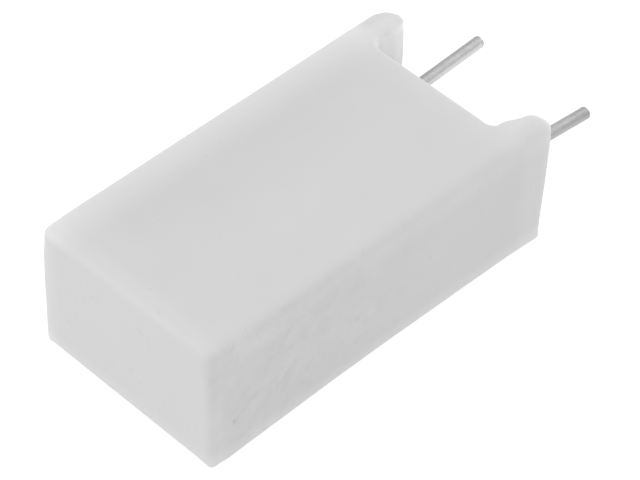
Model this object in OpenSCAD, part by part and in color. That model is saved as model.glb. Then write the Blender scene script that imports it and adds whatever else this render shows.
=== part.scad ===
// Film resistor in a ceramic case, filled with cement, with two leads out of one end.
// It lies on one of its two wide faces. All sizes are in millimetres.
// X runs from the closed end to the leads, Y across the width, Z up through the thickness.

/* [Ceramic case] */
// Length of the case, from its closed end to the tips of its feet
case_length = 25.4; // [24.4:0.5:34.4]
// Width of the case, across its two narrow sides
case_width = 13; // [12.5:0.5:18]
// Thickness of the case, between its two wide faces
case_thickness = 8.7; // [8.2:0.1:12]
// Thickness of each narrow side wall
side_wall = 2.1; // [1.7:0.1:2.2]
// Thickness of each wide wall
face_wall = 1.2; // [0.8:0.1:1.4]
// Thickness of the closed end
end_wall = 1.6; // [1:0.1:2]
// Radius of the moulded outer edges
edge_radius = 0.7; // [0.3:0.1:1]
// Radius in the corners of the moulded cavity
cavity_radius = 0.8; // [0.4:0.1:1.4]

/* [Feet] */
// How far the feet stand past the floor of the notch between them
foot_height = 2.8; // [1:0.1:3.2]
// Width of each foot at its tip
foot_tip = 1.5; // [1.2:0.05:1.6]
// How far the lower end of each foot stops short of its upper end
foot_lean = 0.5; // [0:0.1:0.8]
// Width of the ledge between the cavity and each foot
notch_ledge = 0.1; // [0.05:0.05:0.2]
// Radius of the edges round the notch, on both wide faces
notch_edge_radius = 0.35; // [0.15:0.05:0.4]
// Radius in the two corners of the notch
notch_corner_radius = 0.5; // [0.2:0.1:1]

/* [Cement] */
// How far the cement stops below the floor of the notch
fill_recess = 0.3; // [0:0.1:0.8]
// How far the middle of the cement sinks below its rim
fill_dish = 0.25; // [0.1:0.05:0.5]

/* [Resistor element] */
// Diameter of the ceramic rod
rod_diameter = 4.2; // [3.4:0.1:4.6]
// Length of the ceramic rod
rod_length = 14; // [10:0.5:14]
// Thickness of the resistive film
film_thickness = 0.1; // [0.05:0.01:0.15]
// Length of the plain band of film at each end of the spiral
film_band = 2.8; // [2.4:0.1:3.4]
// Width of the spiral cut that trims the film
trim_cut = 0.3; // [0.15:0.05:0.4]
// Number of turns in the spiral cut
trim_turns = 7; // [3:1:9]
// Distance from the element to the side wall that it lies nearest to
element_gap = 0.5; // [0.2:0.1:1]
// How far the element and its leads lie below the middle of the case
element_drop = 0.2; // [0:0.05:0.4]

/* [End caps] */
// Thickness of the pressed metal caps
cap_wall = 0.25; // [0.15:0.05:0.35]
// Length of each cap over the rod
cap_length = 2.2; // [1.5:0.1:2.3]

/* [Leads] */
// Diameter of the tinned wire
lead_diameter = 0.75; // [0.5:0.05:0.9]
// Distance from each lead to the side wall that it runs along
lead_gap = 0.275; // [0.1:0.025:0.6]
// How far the leads reach past the feet
lead_reach = 5.5; // [2:0.25:30]
// Angle that each lead splays outward past the feet
lead_splay = 3.5; // [0.5:0.5:6]
// Angle that each lead droops past the feet
lead_droop = 1.7; // [0.5:0.1:4]
// Radius of the wire's centre line in the tight bends inside the case
bend_radius = 0.9; // [0.7:0.05:1]
// Radius of the wire's centre line in the two slight bends at the feet
splay_radius = 3; // [1.5:0.5:5]
// Straight wire between each cap and the first bend
lead_stub = 0.4; // [0.2:0.1:0.8]
// Width of the broken edge at the cut end of each lead
tip_chamfer = 0.15; // [0.05:0.05:0.2]
// Clear space between the bent lead and the closed end
hairpin_gap = 0.5; // [0.2:0.1:1]

/* [Hidden] */

// Facets on a full circle, and sides of the film's polygon
$fn = 64;
film_sides = 24;
// Overlap where one shape is cut through or buried in another
over = 1;
// How far a cut that rounds an edge reaches past it, as a share of the radius
waste_reach = 1.2;
// How far a rounding stands out past the faces that it joins, so that it meets them at a clear edge
edge_stand = 0.002;

// The case, from its closed end at X = 0
notch_floor = case_length - foot_height;
half_width = case_width / 2;
cavity_width = case_width - 2 * side_wall;
cavity_height = case_thickness - 2 * face_wall;
middle = case_thickness / 2;
lean_angle = atan(foot_lean / case_thickness);

// The notch, from its floor to the tips of the feet, and the centre of each rounded corner in plan
root_y = cavity_width / 2 + notch_ledge;
foot_side_angle = atan((half_width - foot_tip - root_y) / foot_height);
corner_x = notch_floor + notch_corner_radius;
corner_y = root_y + notch_corner_radius * (tan(foot_side_angle) - 1 / cos(foot_side_angle));

// The film and caps, outward from the rod
rod_radius = rod_diameter / 2;
film_inner = rod_radius / cos(180 / film_sides);
film_outer = (rod_radius + film_thickness) / cos(180 / film_sides);
cap_radius = film_outer + cap_wall;
trim_pitch = (rod_length - 2 * film_band - trim_cut) / (trim_turns - 1);
strip_width = trim_pitch - trim_cut;

// The element and leads in the cavity
lead_radius = lead_diameter / 2;
axis_z = middle - element_drop;
lead_y = cavity_width / 2 - lead_gap - lead_radius;
element_y = cap_radius + element_gap - cavity_width / 2;
element_start = end_wall + hairpin_gap + lead_radius + bend_radius + lead_stub;
element_end = element_start + rod_length + 2 * cap_wall;
fill_level = notch_floor - fill_recess;

// The straight lead's jog, across from the element to its place by the side wall
jog_across = element_y + lead_y;
jog_along = lead_stub + 2 * bend_radius;

// The leads past the feet, which splay outward first and then droop
tip_share = cos(lead_splay) * cos(lead_droop);
splay_start = case_length - splay_radius * (sin(lead_splay) + cos(lead_splay) * sin(lead_droop));
tip_run = lead_reach / tip_share;

// The whole part is centred over its length, leads included
overall_length = case_length + lead_reach + (lead_radius - tip_chamfer) * sqrt(1 - pow(tip_share, 2));

// Moves from the case's own place, closed end at X = 0, to the part's frame
module placed() {
    translate([-overall_length / 2, 0, 0]) children();
}

// What rounding takes off the corner at b, between a and c: a kite about the arc's centre, less the disc
module corner_waste(a, b, c, radius) {
    u = (a - b) / norm(a - b);
    v = (c - b) / norm(c - b);
    half_angle = acos(u * v) / 2;
    tangent = radius / tan(half_angle);
    centre = b + (u + v) / norm(u + v) * radius / sin(half_angle);
    difference() {
        polygon([centre, for (p = [b + u * tangent, b, b + v * tangent])
                     centre + (p - centre) * waste_reach]);
        translate(centre) circle(radius + edge_stand);
    }
}

// A polygon with each corner rounded by its own radius, or left sharp where that is 0
module rounded_polygon(points, radii) {
    count = len(points);
    difference() {
        polygon(points);
        for (i = [0 : count - 1])
            if (radii[i] > 0)
                corner_waste(points[(i + count - 1) % count], points[i],
                             points[(i + 1) % count], radii[i]);
    }
}

function box_outline(from, to) = [from, [to.x, from.y], to, [from.x, to.y]];

// Extrusions of an outline drawn in X and Z, along Y, and of one drawn in Y and Z, along X
module along_y(width) {
    translate([0, width / 2, 0]) rotate([90, 0, 0]) linear_extrude(width) children();
}

module along_x(length) {
    rotate([90, 0, 90]) linear_extrude(length) children();
}

// The outside of the moulded block, feet included, with every edge rounded and its open end leaning
module case_block() {
    far = case_length + over;
    radii = [for (i = [0 : 3]) edge_radius];
    difference() {
        intersection() {
            linear_extrude(case_thickness)
                rounded_polygon(box_outline([0, -half_width], [far, half_width]),
                                [edge_radius, 0, 0, edge_radius]);
            along_y(case_width)
                rounded_polygon([[0, 0], [case_length - foot_lean, 0],
                                 [case_length, case_thickness], [0, case_thickness]], radii);
            along_x(far)
                rounded_polygon(box_outline([-half_width, 0], [half_width, case_thickness]), radii);
        }
        for (side = [-1, 1])
            translate([case_length, 0, case_thickness])
                rotate([0, lean_angle, 0])
                    linear_extrude(3 * case_thickness, center = true)
                        corner_waste([-over, side * half_width], [0, side * half_width], [0, 0], edge_radius);
    }
}

// What rounding takes off the edge between a notch wall at X = 0 and a wide face at Y = 0
module rim_waste() {
    corner_waste([over, 0], [0, 0], [0, -over], notch_edge_radius);
}

// The rounding of the notch's rim on one wide face: along each foot, round each corner, along the floor
module notch_rim() {
    for (side = [0, 1])
        mirror([0, side, 0]) {
            translate([corner_x, corner_y, 0]) {
                rotate([0, 0, foot_side_angle])
                    translate([0, notch_corner_radius, 0])
                        along_x(2 * foot_height) rim_waste();
                rotate([0, 0, 90 + foot_side_angle])
                    rotate_extrude(angle = 90 - foot_side_angle)
                        translate([notch_corner_radius, 0]) rim_waste();
            }
            translate([notch_floor, 0, 0]) rotate([0, 0, 90]) along_x(corner_y) rim_waste();
        }
}

// The gap between the feet, which widens towards their tips
module notch() {
    far = foot_height + over;
    tip_y = root_y + far * tan(foot_side_angle);
    linear_extrude(3 * case_thickness, center = true)
        rounded_polygon([[notch_floor, -root_y], [notch_floor + far, -tip_y],
                         [notch_floor + far, tip_y], [notch_floor, root_y]],
                        [notch_corner_radius, 0, 0, notch_corner_radius]);
    translate([0, 0, case_thickness]) notch_rim();
    mirror([0, 0, 1]) notch_rim();
}

// The space for the element, open at the notch
module cavity(length) {
    across = cavity_width / 2;
    translate([end_wall, 0, 0])
        along_x(length)
            rounded_polygon(box_outline([-across, face_wall], [across, case_thickness - face_wall]),
                            [for (i = [0 : 3]) cavity_radius]);
}

module ceramic_case() {
    color("whitesmoke")
        placed()
            difference() {
                case_block();
                notch();
                cavity(case_length);
            }
}

// A shallow dish that the setting cement leaves in its open face
module fill_hollow() {
    half_span = cavity_width / 2;
    dish_radius = (pow(half_span, 2) + pow(fill_dish, 2)) / (2 * fill_dish);
    translate([fill_level - fill_dish + dish_radius, 0, middle]) sphere(dish_radius, $fn = 128);
}

module cement_fill() {
    color("gainsboro")
        placed()
            difference() {
                cavity(fill_level - end_wall);
                fill_hollow();
                at_element() cylinder(h = rod_length + 2 * cap_wall, r = film_outer);
                cap_places() cylinder(h = cap_length, r = cap_radius);
                straight_wire();
                return_wire();
            }
}

// The element's own axis, from the outer face of the cap nearest the closed end
module at_element() {
    translate([element_start, element_y, axis_z]) rotate([0, 90, 0]) children();
}

module core_rod() {
    color("white")
        placed()
            at_element()
                translate([0, 0, cap_wall]) cylinder(h = rod_length, r = rod_radius);
}

function ring_points(radius, height) =
    [for (i = [0 : film_sides - 1])
        [radius * cos(360 * i / film_sides), radius * sin(360 * i / film_sides), height]];

function flat_ring(radius) = [for (p = ring_points(radius, 0)) [p.x, p.y]];

// A full band of film
module film_collar() {
    linear_extrude(film_band)
        difference() {
            polygon(flat_ring(film_outer));
            polygon(flat_ring(film_inner));
        }
}

// The strip of film that the spiral cut leaves standing, from one band to the other
module film_strip() {
    steps = trim_turns * film_sides;
    points = [for (i = [0 : steps])
        let (turn = 360 * i / film_sides, low = film_band - strip_width + trim_pitch * i / film_sides)
            for (corner = [[film_inner, 0], [film_outer, 0],
                           [film_outer, strip_width], [film_inner, strip_width]])
                [corner[0] * cos(turn), corner[0] * sin(turn), low + corner[1]]];
    walls = [for (i = [0 : steps - 1]) for (j = [0 : 3])
        [4 * i + j, 4 * i + (j + 1) % 4, 4 * i + 4 + (j + 1) % 4, 4 * i + 4 + j]];
    polyhedron(points, concat([[3, 2, 1, 0]], walls, [[for (j = [0 : 3]) 4 * steps + j]]));
}

module resistive_film() {
    color("saddlebrown")
        placed()
            at_element()
                translate([0, 0, cap_wall]) {
                    film_collar();
                    film_strip();
                    translate([0, 0, rod_length - film_band]) film_collar();
                }
}

// The places of the two caps, each with its closed face at Z = 0
module cap_places() {
    at_element() children();
    at_element() translate([0, 0, rod_length + 2 * cap_wall]) mirror([0, 0, 1]) children();
}

module end_cap() {
    difference() {
        cylinder(h = cap_length, r = cap_radius);
        translate([0, 0, cap_wall]) cylinder(h = cap_length, r = film_outer);
    }
}

module blind_end_cap() {
    color("silver") placed() at_element() end_cap();
}

module lead_end_cap() {
    color("silver")
        placed()
            at_element() translate([0, 0, rod_length + 2 * cap_wall]) mirror([0, 0, 1]) end_cap();
}

// A straight length of wire, with what follows it at its far end
module run(length) {
    cylinder(h = length, r = lead_radius);
    translate([0, 0, length]) children();
}

// Wire bent by an angle towards X, with what follows it at its far end
module bend(angle, radius) {
    rotate([90, 0, 180])
        translate([-radius, 0, 0])
            rotate_extrude(angle = angle)
                translate([radius, 0]) circle(lead_radius);
    translate([radius * (1 - cos(angle)), 0, radius * sin(angle)]) rotate([0, angle, 0]) children();
}

module roll(angle) {
    rotate([0, 0, angle]) children();
}

// The wire past the feet, from the slight bends to the cut end, where down is the roll that faces down
module lead_tail(down) {
    bend(lead_splay, splay_radius)
        roll(down) bend(lead_droop, splay_radius)
            run(tip_run - tip_chamfer)
                cylinder(h = tip_chamfer, r1 = lead_radius, r2 = lead_radius - tip_chamfer);
}

// The wire from the cap at the open end, which jogs aside and runs out between the feet
module straight_wire() {
    at_element()
        translate([0, 0, rod_length + 2 * cap_wall])
            roll(-90)
                run(lead_stub) bend(90, bend_radius) run(jog_across - 2 * bend_radius)
                    roll(180) bend(90, bend_radius) run(splay_start - element_end - jog_along)
                        roll(180) lead_tail(90);
}

// The wire from the cap at the closed end, which turns back along the element and runs out
module return_wire() {
    at_element()
        rotate([0, 180, 0])
            roll(90)
                run(lead_stub) bend(90, bend_radius) run(lead_y - element_y - 2 * bend_radius)
                    bend(90, bend_radius) run(splay_start - element_start + lead_stub)
                        roll(180) lead_tail(-90);
}

module straight_lead() {
    color("lightslategray") placed() straight_wire();
}

module return_lead() {
    color("lightslategray") placed() return_wire();
}

ceramic_case();
cement_fill();
core_rod();
resistive_film();
blind_end_cap();
lead_end_cap();
straight_lead();
return_lead();
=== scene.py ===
import math
import random

import bpy
import numpy as np
from mathutils import Matrix, Vector, noise


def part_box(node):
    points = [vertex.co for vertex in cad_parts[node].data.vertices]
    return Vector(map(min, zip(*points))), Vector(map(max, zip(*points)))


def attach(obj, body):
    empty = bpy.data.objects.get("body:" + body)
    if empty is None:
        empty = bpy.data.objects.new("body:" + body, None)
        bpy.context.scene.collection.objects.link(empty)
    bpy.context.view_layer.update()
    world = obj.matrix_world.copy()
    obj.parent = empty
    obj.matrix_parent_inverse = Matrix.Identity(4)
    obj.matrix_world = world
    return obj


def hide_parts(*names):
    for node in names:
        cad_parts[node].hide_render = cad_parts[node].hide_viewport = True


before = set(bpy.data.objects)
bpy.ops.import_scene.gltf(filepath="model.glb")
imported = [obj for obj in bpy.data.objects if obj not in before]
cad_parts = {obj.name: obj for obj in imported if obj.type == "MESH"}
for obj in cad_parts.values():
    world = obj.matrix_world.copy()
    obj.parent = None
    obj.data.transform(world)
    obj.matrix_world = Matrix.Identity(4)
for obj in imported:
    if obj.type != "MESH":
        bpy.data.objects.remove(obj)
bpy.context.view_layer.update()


# The case is one shell of white ceramic, pressed in a mould and fired without a glaze, closed at
# one end. Two feet carry its side walls on past the wide walls. Firing leaves its faces a little
# uneven, its edges soft and its sides marked with short drag lines and pits from the mould.
MM = 0.001


def even_copy(node, name, voxel):
    """A new piece over the same surface as a node, with an even mesh that can be worked."""
    piece = bpy.data.objects.new(name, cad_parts[node].data.copy())
    bpy.context.collection.objects.link(piece)
    remesh = piece.modifiers.new("even", "REMESH")
    remesh.mode = "VOXEL"
    remesh.voxel_size = voxel * MM
    remesh.use_smooth_shade = True
    depsgraph = bpy.context.evaluated_depsgraph_get()
    mesh = bpy.data.meshes.new_from_object(piece.evaluated_get(depsgraph))
    piece.modifiers.clear()
    piece.data = mesh
    mesh.materials.clear()
    mesh.name = name
    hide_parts(node)
    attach(piece, "root")
    return piece


def read_points(piece):
    """The points and normals of a piece, in millimetres."""
    mesh = piece.data
    points = np.empty(len(mesh.vertices) * 3)
    normals = np.empty(len(mesh.vertices) * 3)
    mesh.vertices.foreach_get("co", points)
    mesh.vertices.foreach_get("normal", normals)
    return points.reshape(-1, 3) / MM, normals.reshape(-1, 3)


def write_points(piece, points, node):
    """Puts worked points back into a piece, kept inside the box of the node that it stands for."""
    low, high = (np.array(corner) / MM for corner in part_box(node))
    points = np.clip(points, low, high)
    piece.data.vertices.foreach_set("co", (points * MM).ravel())
    piece.data.update()


def ramp(values, low, high):
    """0 up to low, 1 from high on, and a smooth rise between."""
    share = np.clip((values - low) / (high - low), 0, 1)
    return share * share * (3 - 2 * share)


def lumps(points, size, seed, octaves):
    """Smooth noise at each point, in lumps of about a size in millimetres, from -1 to 1."""
    shift = Vector((seed * 17.3, seed * 5.1, seed * 9.7))
    fade, step = 0.6, 2.0
    return np.array([noise.fractal(Vector(point) / size + shift, fade, step, octaves)
                     for point in points])


def smoothed(points, edges, share, rounds):
    """Moves each point by its share towards the middle of its neighbours, round after round."""
    count = np.bincount(edges.ravel(), minlength=len(points))[:, None]
    for _ in range(rounds):
        total = np.zeros_like(points)
        np.add.at(total, edges[:, 0], points[edges[:, 1]])
        np.add.at(total, edges[:, 1], points[edges[:, 0]])
        points = points + (total / count - points) * share[:, None]
    return points


def edge_pairs(piece):
    """The two points of each edge of a piece."""
    pairs = np.empty(len(piece.data.edges) * 2, dtype=int)
    piece.data.edges.foreach_get("vertices", pairs)
    return pairs.reshape(-1, 2)


# Turns a place so that its noise is drawn out along the drag lines, which climb towards the feet
drag_slope = math.radians(32)
drag_stretch = 4
drag_frame = np.array([[math.cos(drag_slope) / drag_stretch, 0, -math.sin(drag_slope)],
                       [0, 1, 0],
                       [math.sin(drag_slope) / drag_stretch, 0, math.cos(drag_slope)]])

case_low, case_high = (np.array(corner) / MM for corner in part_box("ceramic_case"))
notch_depth = 2.8
notch_floor = case_high[0] - notch_depth
skin_depth = 0.9

case = even_copy("ceramic_case", "fired_case", voxel=0.15)
points, normals = read_points(case)
x, y, z = points.T
from_top = case_high[2] - z
from_side = case_high[1] - np.abs(y)
from_outside = np.minimum.reduce([from_top, z, from_side, x - case_low[0]])
on_feet = ramp(x, notch_floor - 0.2, notch_floor + 1.0)

# Only the outer skin and the feet are worked: the walls of the cavity keep their shape
outer = np.maximum(1 - ramp(from_outside, skin_depth - 0.3, skin_depth),
                   ramp(x, notch_floor - 0.3, notch_floor))

# The farther foot is a little thicker towards its tip
far_thickening = 0.24
inner_face = ramp(x, notch_floor + 0.6, notch_floor + 2.0) * ramp(y, 3.0, 4.0)
inner_face *= ramp(from_side, 0.6, 1.2)
points[:, 1] -= inner_face * far_thickening

# Wear and firing soften two upper edges most, the nearer long one and the closed end's, and round
# the inner rims of the feet towards their tips
softness_all_over, softness_of_wear, softness_of_end = 0.08, 0.52, 0.6
near_top = 1 - ramp(from_top, 1.0, 2.0)
worn_end = ramp(x, case_low[0] + 1.1, case_low[0] + 2.1)
worn_edges = np.maximum(ramp(-y, 4.4, 5.4), softness_of_end - softness_of_end * worn_end)
rims = ramp(x, notch_floor + 1.2, notch_floor + 2.4) * ramp(from_side, 0.8, 1.6)
rims *= 1 - ramp(from_top, 0.5, 1.0)
softness_of_rims = np.where(y < 0, 0.6, 0.2)
softness = outer * (softness_all_over + softness_of_wear * near_top * worn_edges * (1 - on_feet)
                    + rims * softness_of_rims)
points = smoothed(points, edge_pairs(case), softness, rounds=20)
write_points(case, points, "ceramic_case")

# The upright edges come crisper out of the mould than the drawn ones, and so do the ends of the
# nearer lower edge. Both measures, upright and lying, are 0 on a face and greatest halfway round
# an edge of that kind
points, normals = read_points(case)
sideways = np.hypot(normals[:, 0], normals[:, 1])
upright = np.abs(normals[:, :2]).sum(axis=1) - sideways
lying = sideways + np.abs(normals[:, 2]) - 1
upright_push, lying_push = 0.22, 0.05
low_side = ramp(-y, 5.0, 6.0) * (1 - ramp(z, 1.0, 2.0))
low_push = np.interp(x, (-15.4, -14.2, -11.7, -8.0, -2.0, 3.2, 7.0, 8.7),
                     (0.1, 0.3, 0.2, 0.015, -0.05, 0.035, 0.12, 0.3))
crisper = upright_push * upright + (lying_push + (low_push - lying_push) * low_side) * lying
crisper *= 1 - near_top * np.maximum(worn_edges, on_feet)

# The end of the farther foot is an arc with a sharp rim and a rounded outer corner. The long edge
# that leads to it and the upright edge at its other end are a little crisper too
far_rim_push, far_corner_loss, far_edge_push, far_upright_push = 0.42, 0.16, 0.09, 0.06
far_tip = ramp(x, 8.6, 9.3) * ramp(z, 7.4, 8.1) * ramp(y, 3.0, 4.0)
far_tip *= ramp(normals[:, 0], 0.1, 0.5) * (1 - ramp(-normals[:, 1], 0.2, 0.75))
far_corner = ramp(x, 9.0, 9.6) * ramp(z, 7.7, 8.1) * ramp(y, 5.8, 6.4)
far_face = ramp(y, 5.6, 6.2)
crisper += (far_rim_push * lying * far_tip * (1 - ramp(y, 5.2, 6.1))
            - far_corner_loss * far_corner)
crisper += (far_edge_push * lying * far_face * ramp(z, 7.4, 8.0)
            * (1 - ramp(x, 8.8, 9.4)))
crisper += (far_upright_push * upright * far_face * (1 - ramp(z, 4.5, 6.5))
            * (1 - ramp(x, -14.5, -13.5)))
points += normals * (outer * crisper)[:, None]

# The feet shrink unevenly in the fire. The nearer one's end has a belly below its rim, and the
# farther one's end leans and falls back at its outer side
far_side_loss, far_lean = 0.06, 0.09
near_foot = on_feet * ramp(-y, 3.0, 4.0)
far_foot = on_feet * ramp(y, 3.0, 4.0)
near_length = np.interp(z, (1.5, 4.0, 6.2, 6.7, 7.0, 7.25, 7.8, 8.1, 8.3, 8.5),
                        (0.0, 0.06, 0.06, 0.05, 0.07, 0.15, 0.14, 0.08, -0.07, -0.12))
points[:, 0] += near_foot * near_length
points[:, 0] -= far_foot * (far_side_loss * ramp(y, 5.2, 6.2)
                            + far_lean * (1 - ramp(z, 6.6, 7.8)))

# The notch's corner by the nearer foot is tighter than the drawn one, and the foot's root beside
# it is fuller
root_fullness, corner_depth = 0.16, 0.04
near_corner = ramp(-y, 3.5, 4.1) * ramp(z, 5.0, 7.5)
foot_root = near_corner * ramp(x, 7.2, 7.9) * (1 - ramp(x, 8.0, 8.6))
foot_root *= ramp(normals[:, 1], 0.1, 0.6)
points[:, 1] += root_fullness * foot_root
points[:, 0] -= (corner_depth * near_corner * (1 - ramp(-y, 4.4, 4.8))
                 * (1 - ramp(x, 7.3, 7.8)) * ramp(normals[:, 0], 0.1, 0.6))

# Every face is a little uneven, and the near half of one side is rough to the touch
unevenness, rough_loss, drag_depth = 0.012, 0.006, 0.007
waves = lumps(points, size=5.0, seed=1, octaves=2)
points -= normals * (outer * (unevenness + unevenness * waves))[:, None]
rough_side = ramp(-y, 5.6, 6.2) * (1 - 0.75 * ramp(x, -7.0, 1.0))
drag = lumps(points @ drag_frame, size=1.2, seed=2, octaves=2)
points -= normals * (outer * rough_side * (rough_loss + drag_depth * drag))[:, None]

# Pits from bubbles and from grit in the mould: a few by place, radius and depth, and more by the
# face that they lie in, their number, radii and depths
chance = random.Random(41)
pits = [((-13.75, -6.5, 2.76), 0.13, 0.14), ((-8.6, 1.72, 8.7), 0.1, 0.03),
        ((1.8, 2.2, 8.7), 0.1, 0.03), ((-15.45, 5.0, 5.1), 0.13, 0.04),
        ((-15.45, 4.3, 3.3), 0.12, 0.04), ((-15.45, 1.8, 6.7), 0.12, 0.03)]
for face, count, radii, depths in (
        (((-14.5, 0), (-6.5, -6.5), (1.2, 7.2)), 34, (0.10, 0.26), (0.015, 0.05)),
        (((0, 8), (-6.5, -6.5), (1.2, 7.2)), 8, (0.10, 0.20), (0.01, 0.03)),
        (((-14.5, 7), (6.5, 6.5), (1.2, 7.2)), 24, (0.10, 0.24), (0.01, 0.04)),
        (((-14.5, 6), (-5.6, 5.6), (8.7, 8.7)), 12, (0.08, 0.13), (0.01, 0.025)),
        (((-14.5, 6), (-5.6, 5.6), (0, 0)), 30, (0.10, 0.24), (0.01, 0.05)),
        (((-15.45, -15.45), (-5.6, 5.6), (1.0, 7.6)), 26, (0.08, 0.16), (0.012, 0.035))):
    for _ in range(count):
        pits.append((tuple(chance.uniform(*span) for span in face), chance.uniform(*radii),
                     chance.uniform(*depths)))


def hollow(away, radius):
    """1 in the middle of a pit or scratch, and a smooth fall to 0 past its radius."""
    return 1 - ramp(away / radius, 0.3, 1.7)


# Scratches on the rough side: both ends along and up, half width and depth
scratches = [((-13.7, 2.7), (-12.3, 3.9), 0.09, 0.05), ((-10.9, 2.9), (-9.4, 4.2), 0.11, 0.06),
             ((-10.5, 2.6), (-9.7, 3.6), 0.09, 0.05), ((-8.7, 3.0), (-8.1, 3.5), 0.12, 0.04),
             ((-5.1, 2.3), (-4.1, 2.8), 0.12, 0.04), ((-8.4, 5.2), (-7.8, 5.7), 0.12, 0.02)]
on_near_face = ramp(-points[:, 1], 6.0, 6.3)
for start, end, radius, depth in scratches:
    start, run = np.array(start), np.array(end) - start
    flat = points[:, [0, 2]] - start
    share = np.clip(flat @ run / (run @ run), 0, 1)
    away = np.linalg.norm(flat - share[:, None] * run, axis=1)
    points -= normals * (outer * on_near_face * depth * hollow(away, radius))[:, None]
for place, radius, depth in pits:
    away = np.linalg.norm(points - place, axis=1)
    points -= normals * (outer * depth * hollow(away, radius))[:, None]
write_points(case, points, "ceramic_case")


class Socket:
    """One socket in a material. Sums on it add their Math nodes, and add() makes any other node."""

    def __init__(self, tree, socket=None):
        self.tree = tree
        self.socket = socket

    def add(self, kind, settings=None, values=None, output=0):
        made = self.tree.nodes.new(kind)
        for name, setting in (settings or {}).items():
            setattr(made, name, setting)
        for name, value in (values or {}).items():
            if isinstance(value, Socket):
                self.tree.links.new(value.socket, made.inputs[name])
            else:
                made.inputs[name].default_value = value
        return Socket(self.tree, made.outputs[output])

    def math(self, operation, *values):
        return self.add("ShaderNodeMath", {"operation": operation}, dict(enumerate(values)))

    def __add__(self, other):
        return self.math("ADD", self, other)

    def __sub__(self, other):
        return self.math("SUBTRACT", self, other)

    def __rsub__(self, other):
        return self.math("SUBTRACT", other, self)

    def __mul__(self, other):
        return self.math("MULTIPLY", self, other)

    def __abs__(self):
        return self.math("ABSOLUTE", self)

    __radd__ = __add__
    __rmul__ = __mul__

    def rise(self, low, high):
        """0 up to low, 1 from high on, and a smooth rise between."""
        return self.add("ShaderNodeMapRange", {"interpolation_type": "SMOOTHSTEP"},
                        {"Value": self, "From Min": low, "From Max": high})

    def between(self, first, second):
        """A colour that goes from the first to the second as this value goes from 0 to 1."""
        share, colour_a, colour_b, mixed_colour = 0, 6, 7, 2
        return self.add("ShaderNodeMix", {"data_type": "RGBA"},
                        {share: self, colour_a: first, colour_b: second}, output=mixed_colour)

    def part(self, axis):
        return self.add("ShaderNodeSeparateXYZ", {}, {0: self}, output=axis)

    def grain(self, size, detail, roughness=0.6):
        """Cloudy noise in lumps of a size in millimetres, on this place."""
        return self.add("ShaderNodeTexNoise", {},
                        {"Vector": self, "Scale": 1 / size, "Detail": detail,
                         "Roughness": roughness})

    def stretched(self, lengths, turn=(0, 0, 0)):
        """This place, turned and divided by a length along each axis."""
        return self.add("ShaderNodeMapping", {"vector_type": "TEXTURE"},
                        {"Vector": self, "Rotation": turn, "Scale": lengths})


class Finish:
    """A material with its shader, and the place on the part in millimetres."""

    def __init__(self, name, **constants):
        self.material = bpy.data.materials.new(name)
        self.material.use_nodes = True
        self.tree = self.material.node_tree
        self.shader = self.tree.nodes["Principled BSDF"]
        start = Socket(self.tree)
        metres = start.add("ShaderNodeTexCoord", output="Object")
        self.place = metres.add("ShaderNodeVectorMath", {"operation": "SCALE"},
                                {0: metres, "Scale": 1 / MM})
        for name, value in constants.items():
            self.shader.inputs[name.replace("_", " ")].default_value = value

    def varies(self, name, value):
        self.tree.links.new(value.socket, self.shader.inputs[name])

    def bumps(self, height, depth):
        """Bump from a height between 0 and 1 that stands for a depth in millimetres."""
        bump = height.add("ShaderNodeBump", {},
                          {"Height": height, "Distance": depth * MM, "Strength": 1.0})
        self.varies("Normal", bump)

    def onto(self, piece):
        piece.data.materials.clear()
        piece.data.materials.append(self.material)


def grey(lightness, warmth=0.0):
    return (lightness * (1 + warmth), lightness, lightness * (1 - warmth), 1)


# The fired surface is mottled in three sizes, with drag lines and smears on its rough side, a few
# dark specks, and a slightly darker farther half
ceramic = Finish("fired_ceramic", Specular_IOR_Level=0.4)
along, across, up = (ceramic.place.part(axis) for axis in range(3))
fine = ceramic.place.grain(0.1, 3.0, 0.7)
medium = ceramic.place.grain(0.45, 2.0)
cloud = ceramic.place.grain(3.0, 2.0)
on_side = (0 - across).rise(6.0, 6.4)
on_rough_side = on_side * (1 - along.rise(-8.0, 2.0) * 0.85)
drag_turn = (0, -drag_slope, 0)
drag_lines = ceramic.place.stretched((1.1, 1, 0.16), drag_turn).grain(1.0, 1.0).rise(0.60, 0.72)
drag_lines = drag_lines * ceramic.place.grain(1.6, 1.0).rise(0.50, 0.62) * on_rough_side
smears = ceramic.place.stretched((1.3, 1, 0.9), drag_turn).grain(0.8, 1.5)
specks = ceramic.place.grain(0.3, 0.0).rise(0.78, 0.84) * cloud.rise(0.46, 0.56)
far_half = across.rise(-2.0, 5.0) * along.rise(-14.0, -11.0)
far_half = far_half * (1 - along.rise(0.0, 6.0) * 0.6)
tone = 0.5 + (cloud - 0.5) * 0.17 + (medium - 0.5) * 0.07 + (fine - 0.5) * 0.17 - far_half * 0.2
tone = tone + on_rough_side * ((smears - 0.5) * 0.5 + (cloud - 0.5) * 0.5 - 0.18)
tone = tone - drag_lines * 0.22 - specks * 0.35

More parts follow.
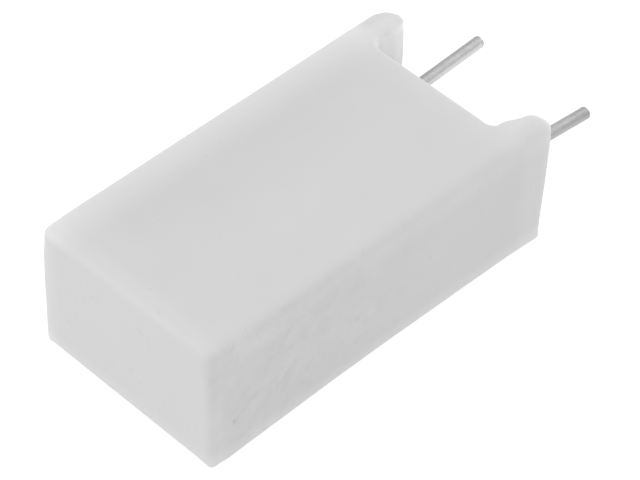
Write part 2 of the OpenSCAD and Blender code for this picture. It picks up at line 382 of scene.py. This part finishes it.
# Painted light in the base colour: the insides of the feet are painted lighter, as if light passed
# a little way through their thin ceramic, and the feet a little lighter overall. Painted highlight
# bands run along the lower edges, where the table's light bounces up, and along the upper edges,
# the notch, the tip of the nearer foot and the corners
on_foot = along.rise(7.0, 8.2)
inside_feet = on_foot * (1 - along.rise(9.6, 9.95)) * (1 - abs(across).rise(5.3, 5.9))
inside_feet = inside_feet * (1 - up.rise(8.2, 8.7) * 0.85)
on_top = up.rise(7.9, 8.5)
low_band = (1 - up.rise(0.3, 1.6)) * (0.14 + on_side * 0.06)
side_band = on_side * up.rise(6.6, 7.8) * (1 - on_top) * 0.07
tip_band = along.rise(8.6, 9.8) * (0 - across).rise(5.5, 6.4) * 0.12
far_band = across.rise(3.5, 6.9) * on_top * (1 - on_foot * 0.8) * 0.31
far_corner_band = across.rise(4.8, 6.9) * (1 - along.rise(-15.3, -14.6)) * (1 - on_top) * 0.23
notch_band = along.rise(4.9, 7.9) * (1 - on_foot) * on_top * 0.125
corner_band = (1 - along.rise(-15.1, -13.9)) * (0 - across).rise(5.9, 6.4)
corner_band = corner_band * (1 - up.rise(4.0, 8.0)) * 0.12
end_band = (1 - along.rise(-14.9, -13.9)) * up.rise(8.2, 8.6) * 0.09
# The painted light and painted highlights add up to one share of near white in the base colour
painted_light = inside_feet * 0.74 + on_foot * 0.08 + low_band + side_band + tip_band
painted_light = painted_light + corner_band + end_band + far_band + far_corner_band + notch_band
dark_ceramic, pale_ceramic, painted_light_colour = grey(0.50), grey(0.62), grey(0.86)
ceramic.varies("Base Color", painted_light.between(tone.between(dark_ceramic, pale_ceramic), painted_light_colour))
ceramic.varies("Roughness", fine * 0.2 + cloud * 0.15 + 0.45)
relief = fine * 0.25 + medium * 0.15 + on_rough_side * smears * 0.2 - drag_lines * 0.35
ceramic.bumps(relief, depth=0.02)
ceramic.onto(case)


# The cement is poured in as a paste round the element and sets hard, a little below the floor of
# the notch. It creeps up the ceramic and the two wires, sinks in the middle, and dries with a
# sandy, pitted face.
wire_across, wire_up, wire_radius = 3.75, 4.15, 0.375
cement = even_copy("cement_fill", "set_cement", voxel=0.125)
points, normals = read_points(cement)
x, y, z = points.T
fill_low, fill_high = (np.array(corner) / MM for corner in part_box("cement_fill"))
face = ramp(x, fill_high[0] - 1.0, fill_high[0] - 0.5) * ramp(normals[:, 0], 0.3, 0.8)
to_wall = np.minimum.reduce([fill_high[1] - np.abs(y), z - fill_low[2], fill_high[2] - z])
to_wire = np.hypot(np.abs(y) - wire_across, z - wire_up) - wire_radius
creep = np.maximum(1 - ramp(to_wall, 0.0, 0.7), 1 - ramp(to_wire, 0.0, 0.6))
creep_height, sand_relief, pour_relief = 0.25, 0.08, 0.09
face_rise = (sand_relief * lumps(points, size=0.5, seed=5, octaves=4)
             + pour_relief * lumps(points, size=2.4, seed=6, octaves=2)
             + creep_height * creep - creep_height)
bubble_count = 40
for _ in range(bubble_count):
    bubble = np.array([chance.uniform(-4.0, 4.0), chance.uniform(1.6, 7.1)])
    radius = chance.uniform(0.1, 0.26)
    away = np.hypot(y - bubble[0], z - bubble[1]) / radius
    face_rise -= chance.uniform(0.6, 1.2) * radius * (1 - ramp(away, 0.6, 1.2))

# The face closes on the wires, and its rim lies just inside their skin
grip = 0.02
hug = face * (1 - ramp(to_wire, 0.1, 0.3))
hug *= 1 - (wire_radius - grip) / (to_wire + wire_radius)
points[:, 1] -= hug * (y - np.sign(y) * wire_across)
points[:, 2] -= hug * (z - wire_up)
points[:, 0] += face * face_rise
write_points(cement, points, "cement_fill")

paste = Finish("sandy_cement", Specular_IOR_Level=0.25)
sand = paste.place.grain(0.14, 4.0, 0.75)
damp = paste.place.grain(1.8, 2.0)
dark_grains = paste.place.grain(0.11, 1.0).rise(0.62, 0.74)
pale_grains = paste.place.stretched((-0.13, 0.13, 0.13)).grain(1.0, 1.0).rise(0.62, 0.74)
paste_tone = (sand * 0.5 + damp * 0.5).rise(0.35, 0.65) * 0.6 + 0.15
paste_tone = paste_tone - dark_grains * 0.3 + pale_grains * 0.3
dark_paste, pale_paste = grey(0.32, 0.04), grey(0.62, 0.02)
paste.varies("Base Color", paste_tone.between(dark_paste, pale_paste))
paste.varies("Roughness", sand * 0.2 + 0.75)
paste.bumps(sand * 0.8 + pale_grains * 0.2, depth=0.1)
paste.onto(cement)


# The leads are soft copper wires with a dull coat of tin, welded to the caps and led out of the
# cement side by side, where they splay and droop a little. Each was cropped in a press, which
# rounds its end over.
# How far the wires splay and droop for each millimetre along, and how far the nearer one's free
# end is bent up again
wire_splay, wire_droop, near_lift = 0.061, 0.03, 0.06


def drawn_wire(node, name, lift):
    """A wire with a slightly uneven skin, whose free end is bent up by a lift in millimetres."""
    skin_relief, bend_start, bend_end = 0.006, 7.2, 9.4
    wire = even_copy(node, name, voxel=0.07)
    points, normals = read_points(wire)
    points -= normals * (skin_relief * lumps(points, size=0.8, seed=7, octaves=2))[:, None]
    points[:, 2] += lift * ramp(points[:, 0], bend_start, bend_end)
    write_points(wire, points, node)
    return wire


tin = Finish("tinned_copper", Metallic=1.0)
lines = tin.place.stretched((2.4, 0.06, 0.06)).grain(1.0, 2.0)
dull = tin.place.grain(0.22, 3.0)
along, across, up = (tin.place.part(axis) for axis in range(3))
cut_end = along.rise(15.05, 15.3)
far_side = across.rise(-1.0, 1.0)

# How high a place is, as if both wires ran level
height_on_wire = up + along * wire_droop + far_side * near_lift - near_lift
# Painted shade on the lower half of the nearer wire, and painted light along the middle of the
# farther one
painted_underside_shade = 1 - height_on_wire.rise(4.57, 4.74)
# Painted shade on the outer flank of the farther wire
far_flank_shade = (across - along * wire_splay).rise(3.08, 3.28)
# Painted shadow of the case on the farther wire, near the case
case_shadow = 1 - along.rise(9.5, 12.0)

# The tin is lighter in streaks where it was rubbed bare, and duller by the cut ends. The rest is
# painted light and shade: painted shade darkens the lower half of the nearer wire and the outer
# flank of the farther one, and a painted shadow of the case darkens the farther wire near the case.
# Painted light lightens the farther wire, most along its middle. The nearer wire is darker towards
# its free end
rubbing_and_shade = (lines * 0.5 + dull * 0.5).rise(0.3, 0.7) * 0.25 - far_side * 0.05 + 0.4
rubbing_and_shade = rubbing_and_shade - cut_end * 0.34
rubbing_and_shade = rubbing_and_shade - painted_underside_shade * (0.43 - far_side * (height_on_wire.rise(4.38, 4.5) * 0.16 + 0.43))
rubbing_and_shade = rubbing_and_shade + far_side * (0.12 - case_shadow * 0.19) - far_flank_shade * (case_shadow * 0.13 + 0.22)
rubbing_and_shade = rubbing_and_shade - (1 - far_side) * along.rise(13.6, 14.8) * 0.19
dull_tin, bright_tin = grey(0.42), grey(0.68)
tin.varies("Base Color", rubbing_and_shade.between(dull_tin, bright_tin))
tin.varies("Roughness", dull.rise(0.3, 0.7) * 0.1 + cut_end * 0.2 + 0.36)
tin.bumps(lines * 0.6 + dull * 0.4, depth=0.012)
for node, name, lift in (("straight_lead", "near_wire", near_lift),
                         ("return_lead", "far_wire", 0)):
    wire = drawn_wire(node, name, lift)
    tin.onto(wire)


# Inside the cement lies the element: a ground ceramic rod with a film of metal on it, cut through
# in a spiral. A steel cup is pressed over each end of it, and makes contact with the film.
rod = Finish("ground_rod", Specular_IOR_Level=0.45)
speck = rod.place.grain(0.2, 3.0)
dark_rod, pale_rod = grey(0.74, 0.02), grey(0.86, 0.02)
rod.varies("Base Color", speck.rise(0.3, 0.7).between(dark_rod, pale_rod))
rod.varies("Roughness", speck * 0.15 + 0.4)
rod.bumps(speck, depth=0.01)
rod.onto(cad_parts["core_rod"])

film = Finish("metal_film", Metallic=0.7)
shade = film.place.grain(1.2, 3.0)
dark_film, pale_film = grey(0.22, 0.1), grey(0.32, 0.08)
film.varies("Base Color", shade.rise(0.3, 0.7).between(dark_film, pale_film))
film.varies("Roughness", shade * 0.2 + 0.35)
film.bumps(film.place.grain(0.1, 2.0), depth=0.005)
film.onto(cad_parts["resistive_film"])

cup = Finish("plated_steel", Metallic=1.0)
press = cup.place.stretched((1.5, 0.08, 0.08)).grain(1.0, 2.0)
dark_steel, bright_steel = grey(0.52), grey(0.68)
cup.varies("Base Color", press.rise(0.3, 0.7).between(dark_steel, bright_steel))
cup.varies("Roughness", press * 0.2 + 0.28)
cup.bumps(press, depth=0.01)
for node in ("blind_end_cap", "lead_end_cap"):
    cup.onto(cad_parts[node])


# The part lies on a light table, a plain white sheet lit from below, which leaves it almost no
# shadow. Four square soft boxes and a white room light it from round about and above.
half_table = 3.0
corners = [(sx * half_table, sy * half_table, 0) for sx, sy in ((-1, -1), (1, -1), (1, 1), (-1, 1))]
table_mesh = bpy.data.meshes.new("table")
table_mesh.from_pydata(corners, [], [(0, 1, 2, 3)])
table = bpy.data.objects.new("table", table_mesh)
bpy.context.collection.objects.link(table)
sheet_glow, dark_paper, pale_paper = 0.72, grey(0.37), grey(0.39)
paper = Finish("white_paper", Roughness=0.9, Emission_Color=grey(1.0),
               Emission_Strength=sheet_glow)
paper.varies("Base Color", paper.place.grain(40.0, 2.0).between(dark_paper, pale_paper))
paper.onto(table)

room_light = 0.708
world = bpy.data.worlds.new("studio")
bpy.context.scene.world = world
world.use_nodes = True
world.node_tree.nodes["Background"].inputs["Color"].default_value = grey(1.0)
world.node_tree.nodes["Background"].inputs["Strength"].default_value = room_light


def soft_box(name, azimuth, elevation, distance, width, power):
    """A square soft light at an azimuth and elevation in degrees, aimed at the part."""
    lamp = bpy.data.lights.new(name, "AREA")
    lamp.size = width
    lamp.energy = power
    box = bpy.data.objects.new(name, lamp)
    turn, lift = math.radians(azimuth), math.radians(elevation)
    place = Vector((math.cos(turn) * math.cos(lift), math.sin(turn) * math.cos(lift),
                    math.sin(lift)))
    box.location = place * distance
    box.rotation_euler = place.to_track_quat("Z", "Y").to_euler()
    bpy.context.collection.objects.link(box)


for name, azimuth, elevation, power in (
        ("lead_light", 0, 15, 1.284), ("far_light", 135, 15, 0.858),
        ("near_light", 225, 50, 0.532), ("top_light", 0, 90, 0.84)):
    soft_box(name, azimuth, elevation, distance=0.6, width=0.35, power=power)

# The camera looks down from high over the corner of the closed end, at the photograph's angle.
camera_place = Vector((-94.076, -92.346, 135.336)) * MM
camera_aim = Vector((0.4976, 0.49529, -0.7121))
camera_roll = math.radians(1.101)
focus_in_pixels, picture_width, sensor_width = 3449.7, 640, 36
lens = bpy.data.cameras.new("camera")
lens.lens = focus_in_pixels * sensor_width / picture_width
lens.sensor_width = sensor_width
lens.clip_start = 0.01
camera = bpy.data.objects.new("camera", lens)
turned = camera_aim.to_track_quat("-Z", "Y").to_matrix() @ Matrix.Rotation(camera_roll, 3, "Z")
camera.matrix_world = Matrix.Translation(camera_place) @ turned.to_4x4()
bpy.context.collection.objects.link(camera)
bpy.context.scene.camera = camera
bpy.context.scene.view_settings.view_transform = "Standard"

bpy.context.view_layer.update()
